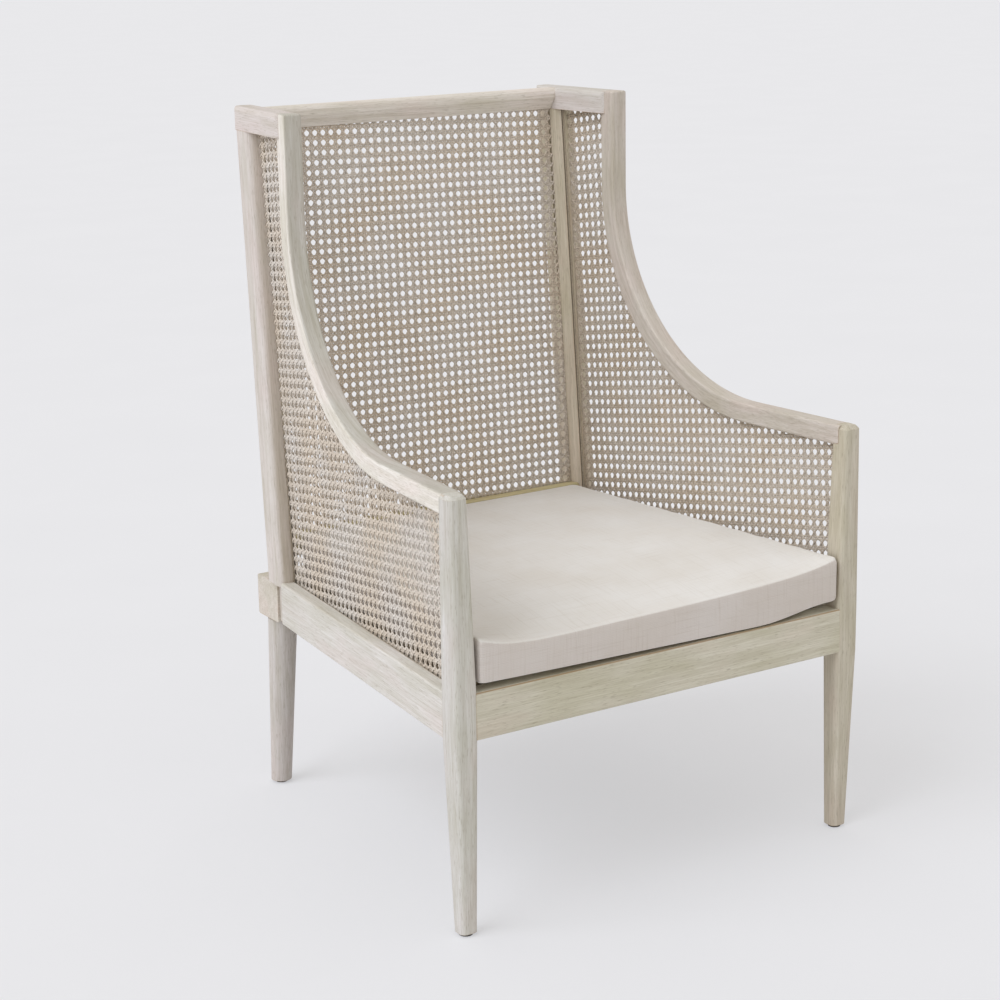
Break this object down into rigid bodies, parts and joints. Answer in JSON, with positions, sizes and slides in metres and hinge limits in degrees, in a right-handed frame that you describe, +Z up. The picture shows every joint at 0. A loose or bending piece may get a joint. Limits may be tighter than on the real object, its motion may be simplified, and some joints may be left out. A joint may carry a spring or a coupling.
{
  "type": "wing armchair",
  "caption": "High-backed wing armchair: a limed wood frame whose arms sweep up into wings, cane webbing in back and sides, and a loose boxed seat cushion.",
  "frame": {"origin": "on the floor, under the middle of the chair's overall width and depth", "axes": "+Z up; the chair faces -Y; +X is to the right as one looks at its front"},
  "size_m": [0.665, 0.673, 1.018],
  "materials": {
    "limed_wood": "whitewashed, matt, with worn grain",
    "bare_wood": "unfinished, planed",
    "cane": "woven cane, washed with the frame's finish",
    "reed": "flat reed, washed with the frame's finish",
    "cushion_cloth": "plain woven linen",
    "cushion_foam": "soft foam",
    "screw_steel": "plain steel",
    "glide": "dark nylon"
  },
  "bodies": {
    "frame": {"back_bottom_rail": "limed_wood", "back_cane": "cane", "back_cane_reed": "reed", "back_top_rail": "limed_wood", "floor_glides": "glide", "frame_dowels": "bare_wood", "front_corner_block_left": "bare_wood", "front_corner_block_right": "bare_wood", "front_post_left": "limed_wood", "front_post_right": "limed_wood", "front_seat_rail": "limed_wood", "rear_corner_block_left": "bare_wood", "rear_corner_block_right": "bare_wood", "rear_leg_dowels": "bare_wood", "rear_leg_left": "limed_wood", "rear_leg_right": "limed_wood", "rear_post_left": "limed_wood", "rear_post_right": "limed_wood", "rear_seat_rail": "limed_wood", "seat_cleat_left": "bare_wood", "seat_cleat_right": "bare_wood", "seat_slat_1": "bare_wood", "seat_slat_2": "bare_wood", "seat_slat_3": "bare_wood", "seat_slat_4": "bare_wood", "seat_slat_5": "bare_wood", "seat_slat_6": "bare_wood", "side_seat_rail_left": "limed_wood", "side_seat_rail_right": "limed_wood", "slat_screws": "screw_steel", "wing_arm_left": "limed_wood", "wing_arm_right": "limed_wood", "wing_cane_left": "cane", "wing_cane_reed_left": "reed", "wing_cane_reed_right": "reed", "wing_cane_right": "cane", "wing_top_rail_left": "limed_wood", "wing_top_rail_right": "limed_wood"},
    "seat_cushion": {"seat_cushion_cover": "cushion_cloth", "seat_cushion_foam": "cushion_foam"}
  },
  "joints": [
    {"name": "cushion_lift", "type": "slide", "parent": "frame", "child": "seat_cushion", "axis": [0, 0, 1], "range_m": [0, 0.12]}
  ]
}
